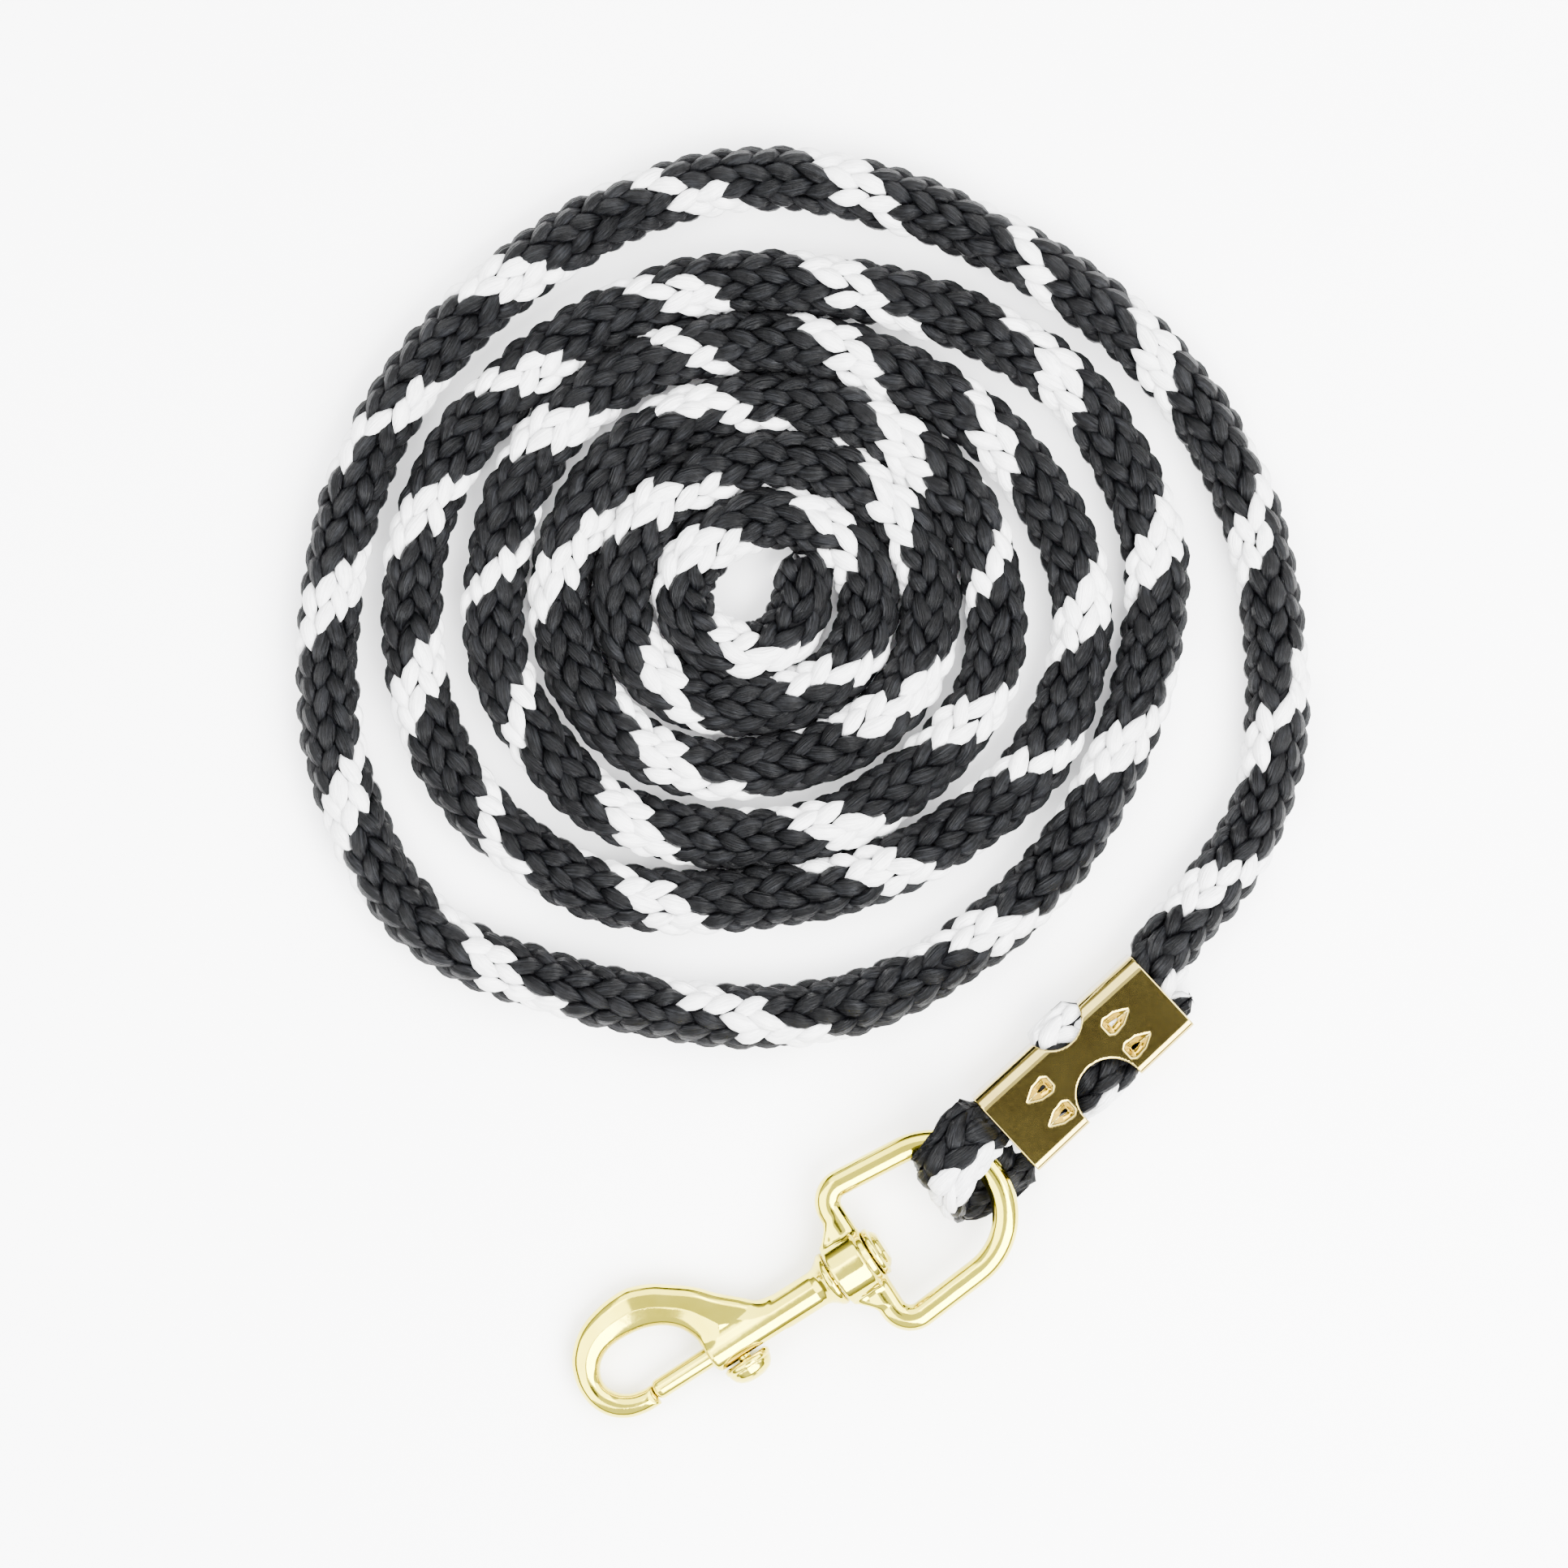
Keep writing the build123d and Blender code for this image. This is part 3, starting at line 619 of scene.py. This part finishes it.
def surface(field, lo, hi, step):
    """Vertices and quads of the field's zero level, moved onto it."""
    ax = [np.arange(a, b + step, step) for a, b in zip(lo, hi)]
    X, Y, Z = np.meshgrid(*ax, indexing="ij")
    D = field(X, Y, Z)
    D = np.where(np.abs(D) < 1e-6, 1e-6, D)
    ins = D < 0
    c = ins[:-1, :-1, :-1].astype(int)
    for dx in (0, 1):
        for dy in (0, 1):
            for dz in (0, 1):
                if dx + dy + dz:
                    c = c + ins[dx:dx + c.shape[0], dy:dy + c.shape[1], dz:dz + c.shape[2]]
    live = (c > 0) & (c < 8)
    idx = -np.ones(live.shape, int)
    cells = np.argwhere(live)
    idx[live] = np.arange(len(cells))
    acc, cnt = np.zeros((len(cells), 3)), np.zeros(len(cells))
    for axis in range(3):
        o1, o2 = [a for a in range(3) if a != axis]
        for u in (0, 1):
            for w in (0, 1):
                p0 = cells.copy()
                p0[:, o1] += u
                p0[:, o2] += w
                p1 = p0.copy()
                p1[:, axis] += 1
                d0, d1 = D[tuple(p0.T)], D[tuple(p1.T)]
                x = (d0 < 0) != (d1 < 0)
                t = d0[x] / (d0[x] - d1[x])
                pos = p0[x].astype(float)
                pos[:, axis] += t
                acc[x] += pos
                cnt[x] += 1
    v = acc / cnt[:, None] * step + np.array(lo)
    for _ in range(3):                      # walk onto the surface
        e = step * 0.25
        f0 = field(v[:, 0], v[:, 1], v[:, 2])
        g = np.stack([(field(*(v + e * np.eye(3)[k]).T) - field(*(v - e * np.eye(3)[k]).T)) / (2 * e) for k in range(3)], -1)
        L = np.maximum((g ** 2).sum(1), 0.2)
        mv = -(f0 / L)[:, None] * g
        ln = np.linalg.norm(mv, axis=1)
        mv *= np.minimum(1, 0.35 * step / np.maximum(ln, 1e-9))[:, None]
        v = v + mv
    quads = []
    for axis in range(3):
        o1, o2 = [(1, 2), (2, 0), (0, 1)][axis]
        a = np.moveaxis(ins, axis, 0)
        e = np.argwhere(a[:-1] != a[1:])
        other = [q for q in range(3) if q != axis]
        p = np.zeros_like(e)
        p[:, axis] = e[:, 0]
        p[:, other[0]] = e[:, 1]
        p[:, other[1]] = e[:, 2]
        ok = (p[:, o1] > 0) & (p[:, o2] > 0) & (p[:, o1] < live.shape[o1]) & (p[:, o2] < live.shape[o2])
        p = p[ok]
        first = ins[tuple(p.T)]

        def at(d1, d2):
            q = p.copy()
            q[:, o1] += d1
            q[:, o2] += d2
            return idx[tuple(q.T)]
        q = np.stack([at(-1, -1), at(0, -1), at(0, 0), at(-1, 0)], -1)
        q[~first] = q[~first][:, ::-1]
        quads.append(q)
    return v, np.vstack(quads)


def casting(name, field, lo, hi, step, material, body, node, place=lay):
    v, q = surface(field, lo, hi, step)
    ob = mesh_object(name, place(v) * MM, q, None, material)
    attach(ob, body)
    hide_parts(node)
    return ob


# snap body
hook_outer = [
    (-36.0, 4.3), (-39.0, 5.65), (-42.0, 8.45), (-45.0, 11.15), (-47.0, 13.15), (-49.0, 15.5), (-51.5, 17.8),
    (-55.0, 20.4), (-59.0, 23.15), (-64.0, 25.2), (-68.0, 25.55), (-73.0, 25.05), (-78.0, 23.65), (-82.0, 21.3),
    (-85.5, 17.65), (-87.3, 13.65), (-88.0, 10.0), (-87.7, 6.0), (-86.2, 2.4), (-84.0, -0.2), (-81.0, -2.1),
    (-78.0, -3.0), (-75.0, -3.35), (-72.4, -3.3),
]
hook_inner = [
    (-72.4, 2.0), (-74.5, 2.0), (-77.5, 2.7), (-80.0, 4.3), (-81.6, 6.6), (-82.0, 8.8), (-81.3, 11.2),
    (-79.5, 13.4), (-77.0, 14.8), (-74.0, 15.4), (-70.0, 15.3), (-66.0, 14.6), (-62.0, 12.9), (-59.0, 10.4),
    (-57.2, 7.4), (-56.2, 4.0), (-56.0, 2.0),
]
hook_poly = np.vstack([rounded(hook_outer), rounded(hook_inner), [(-56.0, -1.0), (-36.0, -1.0)]])
shank_profile = [(-56.0, 4.1), (-55.4, 4.65), (-24.6, 4.65), (-23.2, 5.1), (-22.0, 6.0), (-21.0, 6.9), (-20.4, 7.15),
                 (-19.6, 7.1), (-19.4, 6.8)]


def snap_field(x, y, z):
    d2 = sd_poly(x, y, hook_poly)
    r = np.hypot(y, z)
    arm = slab(d2, np.abs(z) - 2.75 - 1.45 * np.clip(-d2 / 8.0, 0, 1), 2.3)
    # the hook is thinner at its inner edge, which shows as a lip round the opening
    d = smin(arm, spun(x, r, shank_profile), 1.6)
    bore = np.maximum(r - 2.65, np.maximum(-57.5 - x, x + 26.3))
    d = smax(d, -bore, 0.25)
    post = np.maximum(r - 3.4, np.maximum(-25.2 - x, x + 18.0))
    d = np.maximum(d, -post)
    slot_x = np.clip(x, -49.0, -36.7)
    slot = np.maximum(np.hypot(x - slot_x, z) - 1.75, y)
    return smax(d, -slot, 0.2)


snap = casting("snap_casting", snap_field, (-89.5, -8.5, -8.5), (-18.4, 27.0, 8.5), 0.42, gold_cast, "snap", "snap_body")

bolt_profile = [(-72.3, 1.7), (-71.6, 2.45), (-71.0, 2.6), (-42.8, 2.6), (-42.5, 2.35)]
casting("bolt_rod", lambda x, y, z: spun(x, np.hypot(y, z), bolt_profile), (-73.2, -3.4, -3.4), (-41.8, 3.4, 3.4), 0.32,
        gold_bolt, "bolt", "snap_bolt")

knob_profile = [(-1.2, 1.55), (4.9, 1.55), (4.95, 5.3), (5.5, 6.2), (6.5, 6.2), (6.8, 5.75), (7.35, 5.8), (8.6, 5.3),
                (9.6, 4.4), (10.3, 3.0), (10.6, 1.5), (10.68, 0.4)]


def knob_field(x, y, z):
    r = np.hypot(x + 49.0, z)
    d = spun(-y, r, knob_profile)
    bar = np.hypot(y, z) - 2.62
    return np.maximum(d, np.where(-y < 4.0, -bar, -9.0))


casting("knob_turned", knob_field, (-56.2, -11.6, -7.2), (-41.8, 2.2, 7.2), 0.34, gold_cast, "bolt", "thumb_knob")

post_profile = [(-25.0, 3.1), (-24.7, 3.38), (-8.3, 3.38), (-8.2, 5.9), (-7.8, 6.3), (-6.9, 6.3), (-6.6, 5.9),
                (-6.45, 5.1), (-5.8, 4.7), (-5.1, 3.7), (-5.0, 3.2)]
casting("post_turned", lambda x, y, z: spun(x, np.hypot(y, z), post_profile), (-25.8, -7.2, -7.2), (-4.2, 7.2, 7.2), 0.34,
        gold_cast, "snap", "swivel_post")

# swivel eye
taper = math.radians(3.9)
ARCH_X, ARCH_R, BASE_X = 9.42, 17.68, -11.6
join = (ARCH_X + ARCH_R * math.sin(taper), ARCH_R * math.cos(taper))
corner_y = join[1] + (join[0] - BASE_X) * math.tan(taper)
ring_pts = []
for k in range(41):
    a = math.pi / 2 - taper - (math.pi - 2 * taper) * k / 40
    ring_pts.append((ARCH_X + ARCH_R * math.cos(a), ARCH_R * math.sin(a)))
R_C = 5.2
for sgn in (-1, 1):
    cy = sgn * (corner_y - R_C * 1.0)
    pts = []
    for k in range(9):
        a = math.pi / 2 * k / 8
        pts.append((BASE_X + R_C - R_C * math.sin(a), cy + sgn * R_C * math.cos(a)))
    ring_pts += pts if sgn < 0 else pts[::-1]
ring_line = np.array(ring_pts)


def ring_distance(x, y):
    d = np.full(x.shape, 1e9)
    for (ax, ay), (bx, by) in zip(ring_line, np.roll(ring_line, -1, axis=0)):
        ex, ey = bx - ax, by - ay
        wx, wy = x - ax, y - ay
        t = np.clip((wx * ex + wy * ey) / max(ex * ex + ey * ey, 1e-12), 0, 1)
        d = np.minimum(d, (wx - ex * t) ** 2 + (wy - ey * t) ** 2)
    return np.sqrt(d)


gusset_poly = [(-18.4, 8.0), (-14.6, 12.2), (-11.4, 13.0), (-11.0, 0.0), (-11.4, -13.0), (-14.6, -12.2), (-18.4, -8.0)]
hub_profile = [(-19.0, 7.6), (-18.6, 8.2), (-10.6, 8.3), (-10.2, 7.9), (-10.05, 7.3), (-8.6, 6.9), (-8.5, 6.6)]


def eye_field(x, y, z):
    rd = ring_distance(x, y)
    # the bar is a little flatter than round, with soft shoulders
    q = (np.abs(rd / 3.25) ** 2.3 + np.abs(z / 3.2) ** 2.3) ** (1 / 2.3)
    ring = (q - 1) * 3.2
    gus = slab(sd_poly(x, y, gusset_poly), np.abs(z) - 3.0, 1.4)
    d = smin(ring, gus, 1.2)
    r = np.hypot(y, z)
    d = smin(d, spun(x, r, hub_profile), 1.0)
    return np.maximum(d, -np.maximum(r - 3.46, np.maximum(-20 - x, x + 8.0)))


casting("eye_casting", eye_field, (-20.0, -24.0, -9.2), (31.5, 24.0, 9.2), 0.42, gold_cast, "eye", "swivel_eye")

# spring in the bore
turns_n, wire_r, coil_r = 9, 0.25, 2.15
x0s, x1s = -42.2 + wire_r, -26.6 - wire_r
tt = np.linspace(0, 1, turns_n * 28 + 1)
ang = 2 * np.pi * turns_n * tt
ctr = np.stack([x0s + (x1s - x0s) * tt, coil_r * np.cos(ang), coil_r * np.sin(ang)], -1)
tg = np.gradient(ctr, axis=0)
tg /= np.linalg.norm(tg, axis=1)[:, None]
rad = np.stack([np.zeros_like(ang), np.cos(ang), np.sin(ang)], -1)
bn = np.cross(tg, rad)
ra = 2 * np.pi * np.arange(8) / 8
sv = (ctr[:, None, :] + wire_r * (np.cos(ra)[None, :, None] * rad[:, None, :] + np.sin(ra)[None, :, None] * bn[:, None, :])).reshape(-1, 3)
i, j = np.meshgrid(np.arange(len(tt) - 1), np.arange(8), indexing="ij")
i, j = i.ravel(), j.ravel()
k = (j + 1) % 8
sq = np.stack([i * 8 + j, i * 8 + k, (i + 1) * 8 + k, (i + 1) * 8 + j], -1)
ends = [list(range(8))[::-1], [len(sv) - 8 + a for a in range(8)]]
st = [(e[0], e[a], e[a + 1]) for e in ends for a in range(1, 7)]
spring = mesh_object("spring_coil", lay(sv) * MM, sq, st, spring_wire)
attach(spring, "snap")
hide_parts("bolt_spring")
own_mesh(spring)

# clamp: folded sheet with punched prongs and two cut-outs


def clamp_place(v):
    return np.stack([60.7 + v[:, 0] * math.cos(CA) - v[:, 1] * math.sin(CA),
                     9.1 + v[:, 0] * math.sin(CA) + v[:, 1] * math.cos(CA), v[:, 2] + 9.0], -1)


def clamp_field(a, b, z):
    r = np.where(b > 0, 4.2, 1.9)
    half = 11.7 - 0.009 * a
    q1, q2 = np.abs(b) - half + r, np.abs(z) - 9.0 + r
    # the punched edges dip in, top and bottom
    pd = np.full(a.shape, 1e9)
    for p in prongs:
        pd = np.minimum(pd, sd_poly(a, b, p))
    dip = 1.7 * np.clip((0.25 - pd) / 1.5, 0, 1) ** 1.2
    q2 = np.where(np.abs(b) < 9.6, q2 + dip, q2)
    out = np.minimum(np.maximum(q1, q2), 0) + np.hypot(np.maximum(q1, 0), np.maximum(q2, 0)) - r
    sheet = np.abs(out + 0.5) - 0.5
    sheet = smax(sheet, np.abs(a) - 26.1, 0.15)
    for rad_, ca, cb in ((7.5, 1.1, 13.4), (8.7, -0.2, -10.2)):
        sheet = smax(sheet, rad_ - np.hypot(a - ca, b - cb), 0.15)
    sheet = smax(sheet, -(pd + 1.5), 0.1)
    seam = np.maximum(np.abs(b + 0.4) - 0.4, z)
    return np.maximum(sheet, -seam)


casting("clamp_sheet", clamp_field, (-27.0, -13.4, -9.8), (27.0, 13.4, 9.8), 0.36, gold_sheet, "rope", "rope_clamp", clamp_place)

# ------------------------------------------------------------------ floor and light
floor_mat, nt, bsdf = new_material("floor_white")
tc = nt.nodes.new("ShaderNodeTexCoord")
fcol = ramp(nt, noise(nt, tc.outputs["Object"], 6.0, 2.0), [(0.3, (0.86, 0.86, 0.87)), (0.7, (0.90, 0.90, 0.90))])
nt.links.new(fcol, bsdf.inputs["Base Color"])
bsdf.inputs["Roughness"].default_value = 0.6
bpy.ops.mesh.primitive_plane_add(size=6.0, location=(0.036, 0.106, -0.0002))
floor = bpy.context.object
floor.name = "floor"
floor.data.materials.append(floor_mat)

world = bpy.data.worlds.new("world")
scene.world = world
world.use_nodes = True
# the light falls off towards the horizon, which gives the polished metal its darker accents
wt = world.node_tree
wdir = wt.nodes.new("ShaderNodeTexCoord")
wsep = wt.nodes.new("ShaderNodeSeparateXYZ")
wt.links.new(wdir.outputs["Generated"], wsep.inputs[0])
wcol = ramp(wt, wsep.outputs["Z"], [(0.02, (0.16, 0.14, 0.11)), (0.16, (0.34, 0.33, 0.31)), (0.42, (0.97, 0.98, 1.0))])
wt.links.new(wcol, wt.nodes["Background"].inputs["Color"])
wt.nodes["Background"].inputs["Strength"].default_value = 2.2


def soft_light(name, az, elev, dist, size, power):
    ld = bpy.data.lights.new(name, "AREA")
    ld.shape = "SQUARE"
    ld.size = size
    ld.energy = power
    lo = bpy.data.objects.new(name, ld)
    scene.collection.objects.link(lo)
    a, e = math.radians(az), math.radians(elev)
    d = Vector((math.cos(a) * math.cos(e), math.sin(a) * math.cos(e), math.sin(e)))
    mid = Vector((0.036, 0.106, 0.0))
    lo.location = mid + d * dist
    lo.rotation_mode = "QUATERNION"
    lo.rotation_quaternion = d.to_track_quat("Z", "Y")
    return lo


soft_light("light_front", -80, 50, 1.25, 1.1, 118)
soft_light("light_left", 170, 48, 1.25, 1.2, 46)
soft_light("light_back", 80, 48, 1.25, 1.2, 28)
soft_light("light_right", 5, 48, 1.25, 1.2, 50)

# a dark card over the camera, which flat polished faces mirror
card_mat, nt, bsdf = new_material("card_dark")
tc = nt.nodes.new("ShaderNodeTexCoord")
nt.links.new(ramp(nt, noise(nt, tc.outputs["Object"], 3.0, 2.0), [(0.3, (0.012, 0.011, 0.009)), (0.7, (0.020, 0.018, 0.015))]), bsdf.inputs["Base Color"])
bsdf.inputs["Roughness"].default_value = 0.9
bpy.ops.mesh.primitive_circle_add(vertices=48, radius=0.14, fill_type="NGON", location=(0.093, -0.116, 1.55))
card = bpy.context.object
card.name = "card"
card.data.materials.append(card_mat)
